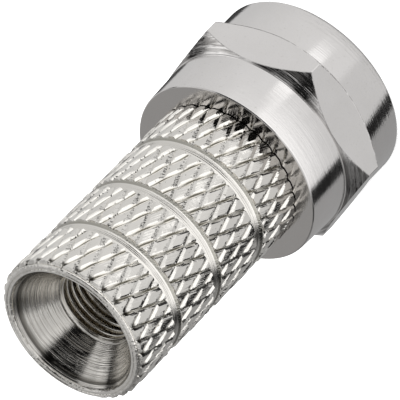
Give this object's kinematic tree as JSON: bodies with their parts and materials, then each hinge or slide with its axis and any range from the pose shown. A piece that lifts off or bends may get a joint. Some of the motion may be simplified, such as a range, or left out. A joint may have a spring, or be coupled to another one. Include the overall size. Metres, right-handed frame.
{
  "type": "f connector",
  "caption": "Twist-on coaxial plug: a diamond-knurled sleeve with a conical cable mouth, and a chamfered hexagonal coupling nut that turns on it.",
  "frame": {"origin": "centre of the coupling nut's front face, which meets the socket and on which the plug stands", "axes": "+Z along the plug's axis towards the cable mouth; +X through a corner of the hexagon, +Y square to one of its flats"},
  "size_m": [0.0128, 0.011, 0.0211],
  "materials": {
    "nut_nickel": "satin",
    "sleeve_nickel": "polished",
    "bush_nickel": "satin"
  },
  "bodies": {
    "plug_body": {"grip_sleeve": "sleeve_nickel", "flanged_bush": "bush_nickel"},
    "nut": {"coupling_nut": "nut_nickel"}
  },
  "joints": [
    {"name": "nut_spin", "type": "hinge", "parent": "plug_body", "child": "nut", "pos_m": [0, 0, 0.0067], "axis": [0, 0, 1], "continuous": true}
  ]
}
